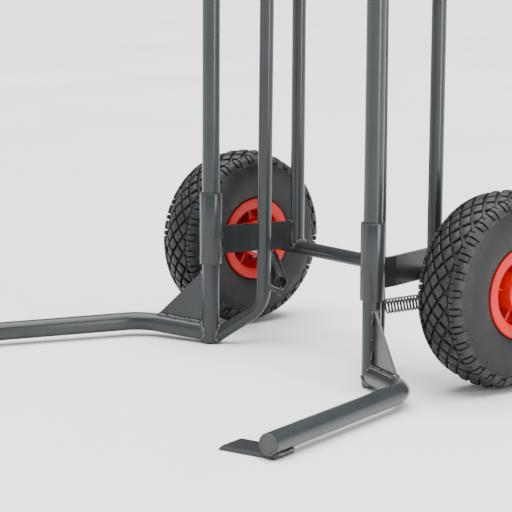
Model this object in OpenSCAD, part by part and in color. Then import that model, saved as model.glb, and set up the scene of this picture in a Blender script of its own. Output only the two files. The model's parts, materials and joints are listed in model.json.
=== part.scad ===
// Hand truck for stacks of tyres: a welded tube frame on two wheels, and two sprung gripper arms
// that turn about their own uprights. +X right, -Y towards the forks, +Z up, floor at z = 0.

/* [Frame] */
// Half the distance between the two uprights' axes
pivot_x = 171.3; // [160:0.5:190]
// How far inside the uprights the rear tubes stand
rear_in = 27.9; // [22:0.1:34]
// Distance from the uprights' axes back to the wheel axle
axle_back = 137; // [130:1:165]
// Outside diameter of the rear tubes and cross tubes
frame_tube_d = 20; // [18:0.5:22]
// Wall of every steel tube
tube_wall = 2; // [1.5:0.1:2.5]
// Height where the rear tubes start to bend back into handles
handle_bend_z = 1150; // [1130:1:1380]
// Radius of the handle bend
handle_bend_r = 90; // [70:1:110]
// Straight length of each handle after its bend
handle_len = 135; // [125:1:165]
// Height of the middle cross tube
mid_cross_z = 600; // [480:1:720]

/* [Sleeves] */
// Wall of the sleeves that the uprights turn in
sleeve_wall = 2; // [1.5:0.1:3]
// How far below the axle's middle the lower sleeve starts
low_sleeve_drop = 13; // [8:1:20]
// Length of the lower sleeve
low_sleeve_len = 99.6; // [90:0.1:120]
// How far below the handle bend the upper sleeve starts
high_sleeve_drop = 65; // [55:1:70]
// Length of the upper sleeve
high_sleeve_len = 60; // [50:1:72]
// Radial wall of the plastic bush between sleeve and upright
bush_wall = 1.45; // [1.2:0.05:1.8]
// Thickness of the bush's flange
bush_flange = 1.2; // [0.8:0.1:2]
// Radial running clearance between bush and upright
bush_fit = 0.05; // [0.02:0.01:0.1]
// Height of the flat bar that makes the side plates
side_plate_h = 40; // [36:1:46]
// Thickness of that flat bar
side_plate_t = 5; // [4:0.5:6]

/* [Arms] */
// Outside diameter of the uprights
upright_d = 25; // [24:0.5:26]
// How far the uprights rise above the upper sleeve
upright_over = 27; // [23:1:40]
// Outside diameter of the fork tubes
fork_d = 26.5; // [24:0.5:28]
// Length of the stub from the upright's axis to the fork's corner
stub_len = 115; // [108:1:140]
// Angle of the stub, forward of straight outward
stub_angle = 20.7; // [16:0.1:24]
// Length of the fork from its corner to its tip
fork_len = 305; // [260:1:380]
// Outward splay of the fork from straight ahead
fork_splay = 16.9; // [12:0.1:20]
// Radius of the bend between stub and fork
fork_bend_r = 56; // [45:1:60]
// Thickness of the tip plate
tip_plate_t = 6; // [5:0.5:7]
// Width of the tip plate along the fork
tip_plate_w = 40; // [36:1:46]
// Reach of the tip plate inward from the fork's axis
tip_plate_reach = 74; // [60:1:90]
// Outside diameter of the lever tubes
lever_d = 20; // [18:0.5:21]
// How far inside the upright the lever stands, at its foot
lever_in = 50; // [46:1:56]
// How far behind the upright the lever stands
lever_back = 56.5; // [50:1:62]
// How far the lever leans inward over its height
lever_lean = 7; // [0:0.5:10]
// Distance from the gusset's top up to the lower sleeve
gusset_drop = 13; // [9:1:27]
// Thickness of the gusset
gusset_t = 4; // [3:0.5:6]

/* [Springs] */
// Outside diameter of the spring
spring_d = 21.5; // [16:0.5:22]
// Diameter of the spring wire
spring_wire = 2.3; // [1.8:0.1:2.6]
// How far outside the uprights the fixed peg stands
anchor_out = 33.7; // [26:0.1:37]

/* [Wheels] */
// Outside diameter of the tyre
tyre_d = 260; // [250:1:300]
// Width of the tyre
tyre_w = 82; // [80:1:88]
// How far outside the uprights each wheel's mid plane stands
wheel_out = 102.1; // [100:0.1:128]
// Axle diameter
axle_d = 20; // [18:0.5:20]
// Radius of the rim's flange
flange_r = 60.5; // [58:0.5:63]
// Radius of the seat for the tyre's bead
bead_r = 50.8; // [50:0.1:52]
// Radial running clearance between axle and bearing
axle_fit = 0.05; // [0.02:0.01:0.1]
// Number of openings, ribs and bolts round the rim
spokes = 5; // [4:1:6]

/* [Hidden] */
$fn = 64;
// How far a bend reaches into the straight run beside it, and how much thinner it is
BEND_REACH = 0.4;
BEND_STEP = 0.05;
// Space left between pieces of one body that are not welded
GAP = 0.3;

FRAME_GREY = [0.27, 0.29, 0.30];
RED = [0.80, 0.12, 0.09];
BLACK = [0.10, 0.10, 0.11];
STEEL = [0.70, 0.70, 0.72];
PLUG_GREY = [0.34, 0.34, 0.32];

// Heights and places along the frame
rear_x = pivot_x - rear_in;
wheel_x = pivot_x + wheel_out;
anchor_x = pivot_x + anchor_out;
axle_z = tyre_d / 2;
rear_foot_z = axle_z + axle_d / 5;
bush_d = upright_d + 2 * (bush_fit + bush_wall);
sleeve_d = bush_d + 2 * sleeve_wall;
low_sleeve_z = axle_z - low_sleeve_drop;
high_sleeve_z = handle_bend_z - high_sleeve_drop;
upright_top = high_sleeve_z + high_sleeve_len + upright_over;
low_plate_z = low_sleeve_z + low_sleeve_len / 2 - side_plate_h / 2 - 18;
high_plate_z = high_sleeve_z + high_sleeve_len / 2 - side_plate_h / 2;
top_cross_z = high_plate_z - 60;
plate_fold = [pivot_x - 5.3, 44];

// Places along an arm, seen from the right arm
foot_z = 4;
cap_t = 3;
stub_z = fork_d / 2 + 2.3;
stub_start = upright_d / 5;
corner_z = fork_d / 2 + 7.7;
tip_z = fork_d / 2 + tip_plate_t;
stub_dir = [cos(stub_angle), -sin(stub_angle)];
fork_dir = [sin(fork_splay), -cos(fork_splay)];
inward_dir = [-cos(fork_splay), -sin(fork_splay)];
corner = [pivot_x, 0] + stub_len * stub_dir;
tip = corner + fork_len * fork_dir;
tip_inset = 6;
lug_z = axle_z - 44;
gusset_z = low_sleeve_z - gusset_drop;
lever_low_z = 5;
lever_bend_z = lug_z - 31;
lever_high_z = high_sleeve_z - 85;
lever_end_z = high_sleeve_z - 35;
lever_bend_r = 45;
lever_foot = [pivot_x - lever_in, lever_back];
lever_head = [pivot_x - lever_in - lever_lean, lever_back + 0.7];
collar_len = 12;
collar_d = upright_d + 9;

// Spring and its two pegs
peg_d = 8;
peg_head_d = 12;
ring_r = 6.2;
lug_len = 22;
lug_drop = 8.5;
lug_dir = [-lever_in, lever_back] / norm([lever_in, lever_back]);
near_hook = [lever_foot[0] + lug_len * lug_dir[0], lever_foot[1] + lug_len * lug_dir[1], lug_z - lug_drop];
far_hook = [anchor_x, axle_back, axle_z - axle_d / 2 - 0.41 * spring_d];
coil_seat = spring_d * [0.18, 0.26, 0.49];

// Wheel, with u along the axle from the wheel's mid plane outward
hub_half = 38;
hub_r = 26.5;
bearing_r = 21;
bearing_w = 12;
recess_r = bead_r - 6.6;
flange_u = 33.1;
flange_t = 4.4;
web_t = 5;
web_skin = 1.8;
bolt_r = 35;
bolt_d = 6;
washer_t = 2.4;
cap_end_u = 46;
valve_d = 10;

// The origin is below the middle of the whole object's box
grip_end = 4;
y_back = axle_back + handle_bend_r + handle_len + grip_end;
y_front = tip[1] - tip_inset * fork_dir[1] + tip_plate_reach * inward_dir[1];
y_mid = (y_front + y_back) / 2;

// ---------- shared shapes ----------

function unit(v) = v / norm(v);
function on_floor(p, z) = [p[0], p[1], z];
// Length that a bend of radius r takes from the straight run before corner i
function trim(pts, i, r) =
  let(turn = acos(unit(pts[i] - pts[i - 1]) * unit(pts[i + 1] - pts[i])))
  r * tan(turn / 2);

// Puts everything in the object's own frame, and mirrors it for the left side
module place(side = 1) {
  translate([0, -y_mid, 0])
    if (side > 0) children();
    else mirror([1, 0, 0]) children();
}

module rod(a, b, d) {
  v = b - a;
  translate(a)
    rotate([0, acos(v[2] / norm(v)), atan2(v[1], v[0])])
      cylinder(h = norm(v), d = d);
}

// Ring segment at corner p, from direction u to direction w. It is a hair thinner than the straight
// runs and reaches a little way into each, so that the two always join in a clean circle.
module elbow(p, u, w, r, d) {
  turn = acos(u * w);
  reach = asin(BEND_REACH / r);
  n = unit(w - (u * w) * u);
  c = p - u * r * tan(turn / 2) + n * r;
  z = cross(-n, u);
  multmatrix([
    [-n[0], u[0], z[0], c[0]],
    [-n[1], u[1], z[1], c[1]],
    [-n[2], u[2], z[2], c[2]],
    [0, 0, 0, 1]
  ])
    rotate([0, 0, -reach]) rotate_extrude(angle = turn + 2 * reach, $fn = 96)
      translate([r, 0]) circle(d = d - 2 * BEND_STEP);
}

// Solid bar along a path whose inner corners are bends of radius r
module path_bar(pts, r, d) {
  last = len(pts) - 1;
  for (i = [0 : last - 1]) {
    u = unit(pts[i + 1] - pts[i]);
    start = i == 0 ? pts[0] : pts[i] + u * trim(pts, i, r);
    end = i == last - 1 ? pts[last] : pts[i + 1] - u * trim(pts, i + 1, r);
    rod(start, end, d);
  }
  for (i = [1 : 1 : last - 1])
    elbow(pts[i], unit(pts[i] - pts[i - 1]), unit(pts[i + 1] - pts[i]), r, d);
}

// The same path, hollow, with open ends
module path_tube(pts, r, d) {
  last = len(pts) - 1;
  before = pts[0] - unit(pts[1] - pts[0]);
  after = pts[last] + unit(pts[last] - pts[last - 1]);
  inner = concat([before], [for (i = [1 : 1 : last - 1]) pts[i]], [after]);
  difference() {
    path_bar(pts, r, d);
    path_bar(inner, r, d - 2 * tube_wall);
  }
}

module ring(h, d_out, d_in) {
  difference() {
    cylinder(h = h, d = d_out);
    translate([0, 0, -1]) cylinder(h = h + 2, d = d_in);
  }
}

// Flat strip of thickness t seen from above, from a to c, with a mitred fold at b
module folded_strip(a, b, c, t) {
  na = [-(b - a)[1], (b - a)[0]] / norm(b - a);
  nc = [-(c - b)[1], (c - b)[0]] / norm(c - b);
  nb = (na + nc) / (1 + na * nc);
  half = t / 2;
  polygon([a + half * na, b + half * nb, c + half * nc, c - half * nc, b - half * nb, a - half * na]);
}

// ---------- fixed frame ----------

module axle() {
  half = wheel_x + cap_end_u - 1.5;
  place()
    translate([-half, axle_back, axle_z]) rotate([0, 90, 0])
      color(FRAME_GREY) cylinder(h = 2 * half, d = axle_d);
}

// Rear tube, coped onto the axle at its foot and bent back into a handle
module rear_tube(side) {
  top = handle_bend_z + handle_bend_r;
  path = [
    [rear_x, axle_back, rear_foot_z],
    [rear_x, axle_back, top],
    [rear_x, axle_back + handle_bend_r + handle_len, top]
  ];
  color(FRAME_GREY) place(side) difference() {
    path_tube(path, handle_bend_r, frame_tube_d);
    translate([rear_x - 50, axle_back, axle_z]) rotate([0, 90, 0])
      cylinder(h = 100, d = axle_d);
  }
}
module left_rear_tube() rear_tube(-1);
module right_rear_tube() rear_tube(1);

module cross_tube(z) {
  color(FRAME_GREY) place() difference() {
    path_tube([[-rear_x, axle_back, z], [rear_x, axle_back, z]], 0, frame_tube_d);
    for (x = [-rear_x, rear_x])
      translate([x, axle_back, z - frame_tube_d]) cylinder(h = 2 * frame_tube_d, d = frame_tube_d);
  }
}
module mid_cross_tube() cross_tube(mid_cross_z);
module top_cross_tube() cross_tube(top_cross_z);

// Flat bar from sleeve to rear tube, folded slightly in plan, with its front top corner cut off
module side_plate(side, z) {
  chamfer = 7;
  color(FRAME_GREY) place(side) difference() {
    translate([0, 0, z]) linear_extrude(side_plate_h)
      folded_strip([pivot_x, 0], plate_fold, [rear_x, axle_back], side_plate_t);
    translate([pivot_x, 0, z - 1]) cylinder(h = side_plate_h + 2, d = sleeve_d);
    translate([rear_x, axle_back, z - 1]) cylinder(h = side_plate_h + 2, d = frame_tube_d);
    translate([0, axle_back, axle_z]) rotate([0, 90, 0]) cylinder(h = pivot_x + 50, d = axle_d);
    translate([pivot_x, sleeve_d / 2 - 1, z + side_plate_h]) rotate([45, 0, 0])
      cube([100, sqrt(2) * chamfer, sqrt(2) * chamfer], center = true);
  }
}
module left_side_plate() side_plate(-1, low_plate_z);
module right_side_plate() side_plate(1, low_plate_z);
module left_upper_plate() side_plate(-1, high_plate_z);
module right_upper_plate() side_plate(1, high_plate_z);

module sleeve(side, z, h) {
  color(FRAME_GREY) place(side)
    translate([pivot_x, 0, z]) ring(h, sleeve_d, bush_d);
}
module left_lower_sleeve() sleeve(-1, low_sleeve_z, low_sleeve_len);
module right_lower_sleeve() sleeve(1, low_sleeve_z, low_sleeve_len);
module left_upper_sleeve() sleeve(-1, high_sleeve_z, high_sleeve_len);
module right_upper_sleeve() sleeve(1, high_sleeve_z, high_sleeve_len);

// Plastic bush pressed into a sleeve's end, with its flange outside
module bush() {
  length = 22;
  difference() {
    union() {
      translate([0, 0, -bush_flange]) cylinder(h = bush_flange, d = sleeve_d - 0.6);
      cylinder(h = length, d = bush_d);
    }
    translate([0, 0, -bush_flange - 1])
      cylinder(h = length + bush_flange + 2, d = upright_d + 2 * bush_fit);
  }
}

module bush_set(z, h) {
  color(BLACK) for (side = [-1, 1]) place(side) {
    translate([pivot_x, 0, z]) bush();
    translate([pivot_x, 0, z + h]) mirror([0, 0, 1]) bush();
  }
}
module lower_bushes() bush_set(low_sleeve_z, low_sleeve_len);
module upper_bushes() bush_set(high_sleeve_z, high_sleeve_len);

// Closed rubber grip pushed onto the handle's end
module grip(side) {
  grip_len = 118;
  grip_d = 31;
  handle_end = axle_back + handle_bend_r + handle_len;
  color(BLACK) place(side)
    translate([rear_x, handle_end + grip_end, handle_bend_z + handle_bend_r]) rotate([90, 0, 0])
      difference() {
        union() {
          cylinder(h = grip_len, d = grip_d);
          translate([0, 0, grip_len - 5]) cylinder(h = 5, d = grip_d + 7);
        }
        translate([0, 0, grip_end]) cylinder(h = grip_len, d = frame_tube_d);
      }
}
module left_grip() grip(-1);
module right_grip() grip(1);

// Headed pegs welded under the axle, one for each spring
module spring_pegs() {
  bottom = far_hook[2] - 7;
  color(FRAME_GREY) for (side = [-1, 1]) place(side) difference() {
    union() {
      translate([anchor_x, axle_back, bottom]) cylinder(h = axle_z - bottom, d = peg_d);
      translate([anchor_x, axle_back, bottom]) cylinder(h = 2.5, d = peg_head_d);
    }
    translate([anchor_x - 20, axle_back, axle_z]) rotate([0, 90, 0]) cylinder(h = 40, d = axle_d);
  }
}

// Space that the coil fills, with a hooked ring at each end. The near ring hangs below the coil.
module spring(side) {
  coil_start = near_hook + coil_seat;
  along = unit(far_hook - coil_start);
  coil_end = far_hook - along * (ring_r + 8);
  lug_axis = unit([lug_len * lug_dir[0], lug_len * lug_dir[1], -lug_drop]);
  ring_top = near_hook + ring_r * unit(coil_seat - (coil_seat * lug_axis) * lug_axis);
  color(BLACK) place(side) {
    difference() {
      rod(coil_start, coil_end, spring_d);
      rod(coil_start + along * spring_wire, coil_end - along * spring_wire, spring_d - 2 * spring_wire);
    }
    rod(ring_top, coil_start + along, spring_wire);
    rod(coil_end - along, far_hook - along * ring_r, spring_wire);
    translate(near_hook)
      rotate([0, acos(-lug_drop / norm([lug_len, lug_drop])), atan2(lug_dir[1], lug_dir[0])])
        rotate_extrude() translate([ring_r, 0]) circle(d = spring_wire, $fn = 24);
    translate(far_hook)
      rotate_extrude() translate([ring_r, 0]) circle(d = spring_wire, $fn = 24);
  }
}
module left_spring() spring(-1);
module right_spring() spring(1);

// Steel collars that keep the wheels off the frame
module wheel_collars() {
  color(STEEL) for (side = [-1, 1]) place(side)
    translate([wheel_x - hub_half - GAP - 8, axle_back, axle_z]) rotate([0, 90, 0])
      ring(8, axle_d + 12, axle_d);
}

module outer_washers() {
  color(STEEL) for (side = [-1, 1]) place(side)
    translate([wheel_x + hub_half + GAP, axle_back, axle_z]) rotate([0, 90, 0])
      ring(washer_t, axle_d + 14, axle_d);
}

// Pressed caps on the axle's ends
module axle_caps() {
  start = wheel_x + hub_half + GAP + washer_t;
  end = wheel_x + cap_end_u;
  color(STEEL) for (side = [-1, 1]) place(side)
    translate([start, axle_back, axle_z]) rotate([0, 90, 0]) difference() {
      cylinder(h = end - start, d = axle_d + 5);
      translate([0, 0, -1.5]) cylinder(h = end - start, d = axle_d);
    }
}

// ---------- gripper arms ----------

module upright(side) {
  color(FRAME_GREY) place(side) translate([pivot_x, 0, foot_z])
    ring(upright_top - foot_z, upright_d, upright_d - 2 * tube_wall);
}
module left_upright() upright(-1);
module right_upright() upright(1);

stub_root = [pivot_x, 0, stub_z];
fork_path = [
  stub_root + (on_floor(corner, corner_z) - stub_root) * stub_start / stub_len,
  on_floor(corner, corner_z),
  on_floor(tip, tip_z)
];

// Fork tube, coped onto the upright and bent forward from its stub
module fork(side) {
  color(FRAME_GREY) place(side) difference() {
    path_tube(fork_path, fork_bend_r, fork_d);
    translate([pivot_x, 0, -20]) cylinder(h = 80, d = upright_d);
  }
}
module left_fork() fork(-1);
module right_fork() fork(1);

// Triangular plate that stands on the stub and stiffens it against the upright
module gusset(side) {
  toe = stub_len - fork_bend_r * tan((90 - stub_angle - fork_splay) / 2) - 2;
  toe_z = corner_z + fork_d / 2;
  color(FRAME_GREY) place(side) difference() {
    translate([pivot_x, 0, 0]) rotate([0, 0, -stub_angle])
      rotate([90, 0, 0]) translate([0, 0, -gusset_t / 2]) linear_extrude(gusset_t)
        polygon([[0, stub_z], [toe, stub_z], [toe, toe_z + 2], [upright_d / 2, gusset_z], [0, gusset_z]]);
    translate([pivot_x, 0, 0]) cylinder(h = gusset_z + 5, d = upright_d);
    path_bar(fork_path, fork_bend_r, fork_d);
  }
}
module left_gusset() gusset(-1);
module right_gusset() gusset(1);

// Flat bar across the fork's tip, bevelled at its inner end to slide under a tyre
module tip_plate(side) {
  outer = 4.5;
  bevel = 5;
  color(FRAME_GREY) place(side)
    translate([tip[0], tip[1], 0] - tip_inset * [fork_dir[0], fork_dir[1], 0])
      rotate([0, 0, atan2(inward_dir[1], inward_dir[0])])
        rotate([90, 0, 0]) linear_extrude(tip_plate_w)
          polygon([
            [-outer, 0], [tip_plate_reach, 0], [tip_plate_reach, 0.8],
            [tip_plate_reach - bevel, tip_plate_t], [-outer, tip_plate_t]
          ]);
}
module left_tip_plate() tip_plate(-1);
module right_tip_plate() tip_plate(1);

// Plastic plug in the fork's open end
module fork_plug(side) {
  u = unit(fork_path[2] - fork_path[1]);
  p = fork_path[2];
  color(PLUG_GREY) place(side) {
    rod(p - u * 14, p, fork_d - 2 * tube_wall);
    rod(p, p + u * 1.6, fork_d - 1);
  }
}
module left_fork_plug() fork_plug(-1);
module right_fork_plug() fork_plug(1);

// Lever tube: a loop from the upright's foot, up behind it, and back to it below the upper sleeve
module lever(side) {
  path = [
    [pivot_x, 0, lever_low_z],
    on_floor(lever_foot, lever_bend_z),
    on_floor(lever_head, lever_high_z),
    [pivot_x, 0, lever_end_z]
  ];
  color(FRAME_GREY) place(side) difference() {
    path_tube(path, lever_bend_r, lever_d);
    translate([pivot_x, 0, -30]) cylinder(h = upright_top, d = upright_d);
  }
}
module left_lever() lever(-1);
module right_lever() lever(1);

// Headed rod on the lever that the spring hooks onto
module lug(side) {
  from = on_floor(lever_foot, lug_z);
  along = unit(near_hook - from);
  lean = lever_lean / (lever_high_z - lever_bend_z);
  lever_at = [lever_foot[0] - lean * (lug_z - lever_bend_z), lever_foot[1], lug_z];
  color(FRAME_GREY) place(side) difference() {
    union() {
      rod(from, near_hook + along * 5, peg_d);
      rod(near_hook + along * 3, near_hook + along * 5.5, peg_head_d);
    }
    rod(lever_at - [-lean, 0, 1] * 40, lever_at + [-lean, 0, 1] * 40, lever_d);
  }
}
module left_lug() lug(-1);
module right_lug() lug(1);

// Domed cap that closes the upright's foot
module foot_cap(side) {
  color(FRAME_GREY) place(side) translate([pivot_x, 0, foot_z - cap_t]) {
    rotate_extrude() polygon(concat(
      [[0, cap_t], [0, 0], [upright_d / 2 - cap_t, 0]],
      [for (a = [15 : 15 : 90]) [upright_d / 2 - cap_t + cap_t * sin(a), cap_t - cap_t * cos(a)]]
    ));
    translate([0, 0, cap_t]) cylinder(h = 10, d = upright_d - 2 * tube_wall);
  }
}
module left_foot_cap() foot_cap(-1);
module right_foot_cap() foot_cap(1);

module top_cap(side) {
  color(BLACK) place(side) translate([pivot_x, 0, upright_top]) {
    translate([0, 0, -14]) cylinder(h = 14, d = upright_d - 2 * tube_wall);
    cylinder(h = 2.5, d = upright_d);
    translate([0, 0, 2.5]) cylinder(h = 2, d1 = upright_d, d2 = upright_d - 6);
  }
}
module left_top_cap() top_cap(-1);
module right_top_cap() top_cap(1);

// Collar above the upper sleeve that carries the arm when the truck is tilted
module collar(side) {
  screw_d = 5;
  color(STEEL) place(side)
    translate([pivot_x, 0, high_sleeve_z + high_sleeve_len + bush_flange + GAP]) difference() {
      ring(collar_len, collar_d, upright_d);
      translate([0, 0, collar_len / 2]) rotate([90, 0, 0]) cylinder(h = collar_d, d = screw_d);
    }
}
module left_collar() collar(-1);
module right_collar() collar(1);

// ---------- wheels: profiles in (radius, u), u = 0 on the wheel's mid plane ----------

// Turns a profile about the axle; u points outward from the truck
module wheel_turn(side) {
  place(side) translate([wheel_x, axle_back, axle_z]) rotate([0, 90, 0]) children();
}

tyre_r = tyre_d / 2;
tyre_half = tyre_w / 2;
bead_half = flange_u - GAP;
wall_r = (tyre_r + flange_r) / 2 - 5;
shoulder_r = tyre_r - 17;

// One side of the tyre's outside, from the bead to the middle of the tread
function tyre_side() = concat(
  [[bead_r + 0.1, 21], [bead_r + 0.1, bead_half], [flange_r - 1, bead_half]],
  [for (a = [-75 : 15 : 0]) [
    wall_r + (wall_r - flange_r) * sin(a),
    bead_half + (tyre_half - bead_half) * cos(a)
  ]],
  [for (a = [20 : 20 : 60]) [
    wall_r + (shoulder_r - wall_r) * sin(a) / sin(60),
    tyre_half - 4 * (1 - cos(a)) / (1 - cos(60))
  ]],
  [for (a = [0 : 15 : 90]) [
    shoulder_r + 11 * sin(a),
    tyre_half - 16 + 12 * cos(a)
  ]],
  [for (u = [20 : -5 : 0]) [tyre_r - u * u / 95, u]]
);

// One side of the air space, shrunk by c
function air_side(c) = concat(
  [[bead_r + 0.1 + c, 0], [bead_r + 0.1 + c, 21 - c], [flange_r + 2 + c, 21 - c]],
  [for (a = [-45 : 15 : 90]) [
    wall_r + (a < 0 ? wall_r - flange_r - 2 : tyre_r - 9 - wall_r - c) * sin(a),
    (tyre_half - 6 - c) * pow(cos(a), 0.8)
  ]]
);

function mirrored(pts) = [for (i = [len(pts) - 1 : -1 : 0]) [pts[i][0], -pts[i][1]]];

module tyre(side) {
  outside = tyre_side();
  color(BLACK) wheel_turn(side) rotate_extrude($fn = 128) difference() {
    polygon(concat(outside, mirrored(outside)));
    polygon(concat(air_side(0), mirrored(air_side(0))));
  }
}
module left_tyre() tyre(-1);
module right_tyre() tyre(1);

module inner_tube(side) {
  skin = 2;
  outside = air_side(0.4);
  inside = air_side(0.4 + skin);
  color(BLACK) wheel_turn(side) rotate_extrude($fn = 128) difference() {
    polygon(concat(outside, mirrored(outside)));
    polygon(concat(inside, mirrored(inside)));
  }
}
module left_inner_tube() inner_tube(-1);
module right_inner_tube() inner_tube(1);

// Section of one rim half: barrel with its flange, web and hub
module rim_section() {
  outer_u = flange_u + flange_t;
  translate([recess_r, 0]) square([bead_r - recess_r, flange_u + 1]);
  polygon(concat(
    [[recess_r, flange_u - 6], [bead_r, flange_u - 1], [bead_r, flange_u], [flange_r - 0.5, flange_u]],
    [for (a = [-60 : 30 : 90]) [
      flange_r - flange_t / 2 + flange_t / 2 * cos(a),
      flange_u + flange_t / 2 + flange_t / 2 * sin(a)
    ]],
    [[recess_r + 3, outer_u - 1.5], [recess_r + 0.8, outer_u - 2.6], [recess_r, outer_u - 4.5]]
  ));
  translate([hub_r - 3, 0]) square([recess_r - hub_r + 4, web_t]);
  difference() {
    translate([bearing_r - 4, 0]) square([hub_r - bearing_r + 4, hub_half]);
    translate([0, hub_half - bearing_w]) square([bearing_r, bearing_w + 1]);
  }
}

// Outline of one pocket in the web, closed by a skin where the two halves meet
module web_pocket() {
  half_angle = 180 / spokes - 15;
  difference() {
    circle(r = recess_r - 2.5);
    circle(r = hub_r + 2);
    rotate(half_angle) translate([-100, 0]) square([200, 100]);
    rotate(-half_angle) translate([-100, -100]) square([200, 100]);
    translate([-200, -100]) square([200, 200]);
  }
}

module valve_body(d) {
  rotate(180 / spokes) rod([recess_r + 3, 0, 14], [recess_r - 9, 0, 27], d);
}

// Moulded rim half: the web's spokes carry a rib each, and a bolt beside it
module rim_half(side, outer) {
  color(RED) wheel_turn(side) mirror([0, 0, outer ? 0 : 1]) difference() {
    union() {
      rotate_extrude($fn = 96) rim_section();
      for (i = [0 : spokes - 1]) rotate((i + 0.5) * 360 / spokes + 7)
        translate([hub_r - 1, -1.5, web_t - 1]) cube([recess_r - hub_r + 2, 3, 20]);
    }
    for (i = [0 : spokes - 1]) rotate(i * 360 / spokes)
      translate([0, 0, web_skin]) linear_extrude(web_t) web_pocket();
    for (i = [0 : spokes - 1]) rotate((i + 0.5) * 360 / spokes - 5)
      translate([bolt_r, 0, -1]) cylinder(h = web_t + 3, d = bolt_d + 0.2);
    if (outer) valve_body(valve_d);
  }
}
module left_rim_outer() rim_half(-1, true);
module left_rim_inner() rim_half(-1, false);
module right_rim_outer() rim_half(1, true);
module right_rim_inner() rim_half(1, false);

// Two ball bearings in the hub's ends, each with its shield drawn in
module bearings(side) {
  color(STEEL) wheel_turn(side) for (end = [0, 1]) mirror([0, 0, end])
    translate([0, 0, hub_half - bearing_w]) rotate_extrude($fn = 96) difference() {
      translate([axle_d / 2 + axle_fit, 0]) square([bearing_r - axle_d / 2 - axle_fit, bearing_w]);
      translate([axle_d / 2 + 3.5, bearing_w - 0.8]) square([bearing_r - axle_d / 2 - 7, 2]);
    }
}
module left_bearings() bearings(-1);
module right_bearings() bearings(1);

module rim_bolts(side) {
  color(STEEL) wheel_turn(side) for (i = [0 : spokes - 1])
    rotate((i + 0.5) * 360 / spokes - 5) translate([bolt_r, 0, 0]) {
      translate([0, 0, -web_t]) cylinder(h = 2 * web_t, d = bolt_d);
      translate([0, 0, web_t]) cylinder(h = 4, r = 5, $fn = 6);
      translate([0, 0, -web_t - 5]) cylinder(h = 5, r = 5.5, $fn = 6);
    }
}
module left_rim_bolts() rim_bolts(-1);
module right_rim_bolts() rim_bolts(1);

module valve(side) {
  color(BLACK) wheel_turn(side) intersection() {
    union() {
      valve_body(valve_d);
      rotate(180 / spokes) rod([recess_r - 8, 0, 26], [recess_r - 14, 0, 32.5], 7);
    }
    cylinder(h = flange_u, r = bead_r - 0.6);
  }
}
module left_valve() valve(-1);
module right_valve() valve(1);

// ---------- drawing ----------

axle();
left_rear_tube();
right_rear_tube();
mid_cross_tube();
top_cross_tube();
left_side_plate();
right_side_plate();
left_upper_plate();
right_upper_plate();
left_lower_sleeve();
right_lower_sleeve();
left_upper_sleeve();
right_upper_sleeve();
lower_bushes();
upper_bushes();
left_grip();
right_grip();
spring_pegs();
left_spring();
right_spring();
wheel_collars();
outer_washers();
axle_caps();
left_upright();
left_fork();
left_gusset();
left_tip_plate();
left_fork_plug();
left_lever();
left_lug();
left_foot_cap();
left_top_cap();
left_collar();
right_upright();
right_fork();
right_gusset();
right_tip_plate();
right_fork_plug();
right_lever();
right_lug();
right_foot_cap();
right_top_cap();
right_collar();
left_tyre();
left_inner_tube();
left_rim_outer();
left_rim_inner();
left_bearings();
left_rim_bolts();
left_valve();
right_tyre();
right_inner_tube();
right_rim_outer();
right_rim_inner();
right_bearings();
right_rim_bolts();
right_valve();
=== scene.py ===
# Looks of the hand truck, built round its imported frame: weld beads, springs, tyres, grips and
# finishes. Metres, in the frame's own directions: +X right, -Y towards the forks, +Z up, and the
# floor at z = 0.
import json
import math

import bmesh
import bpy
import numpy as np
from mathutils import Matrix, Vector


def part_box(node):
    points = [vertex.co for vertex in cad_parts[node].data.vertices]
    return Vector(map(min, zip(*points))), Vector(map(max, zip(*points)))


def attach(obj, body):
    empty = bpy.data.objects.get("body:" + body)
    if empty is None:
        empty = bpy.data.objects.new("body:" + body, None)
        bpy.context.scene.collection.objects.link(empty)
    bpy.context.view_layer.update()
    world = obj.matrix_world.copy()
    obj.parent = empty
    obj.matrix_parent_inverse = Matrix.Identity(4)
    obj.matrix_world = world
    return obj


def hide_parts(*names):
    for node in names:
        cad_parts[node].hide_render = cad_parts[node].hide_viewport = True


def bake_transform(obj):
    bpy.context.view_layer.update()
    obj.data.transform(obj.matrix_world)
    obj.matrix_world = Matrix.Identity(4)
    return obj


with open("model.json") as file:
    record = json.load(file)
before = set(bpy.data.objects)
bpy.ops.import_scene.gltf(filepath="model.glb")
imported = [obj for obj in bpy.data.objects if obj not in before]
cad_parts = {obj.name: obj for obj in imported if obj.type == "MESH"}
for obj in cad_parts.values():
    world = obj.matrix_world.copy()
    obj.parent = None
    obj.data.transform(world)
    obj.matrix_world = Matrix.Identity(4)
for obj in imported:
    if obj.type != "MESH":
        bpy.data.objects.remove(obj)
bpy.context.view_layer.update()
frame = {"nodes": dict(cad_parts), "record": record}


# ---- Powder coat: every tube and flat bar of the truck ----
# Mild steel tube and bar, cut and bent, welded up and then powder coated in semi-gloss anthracite.
# The coat flows a little before it sets, so it has a fine orange peel and soft corners.
MM = 0.001
SOFT_EDGED = ("side_plate", "upper_plate", "gusset", "tip_plate", "sleeve", "collar")
slot_of = {part["node"]: part["material_slot"] for part in frame["record"]["subparts"]}


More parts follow.
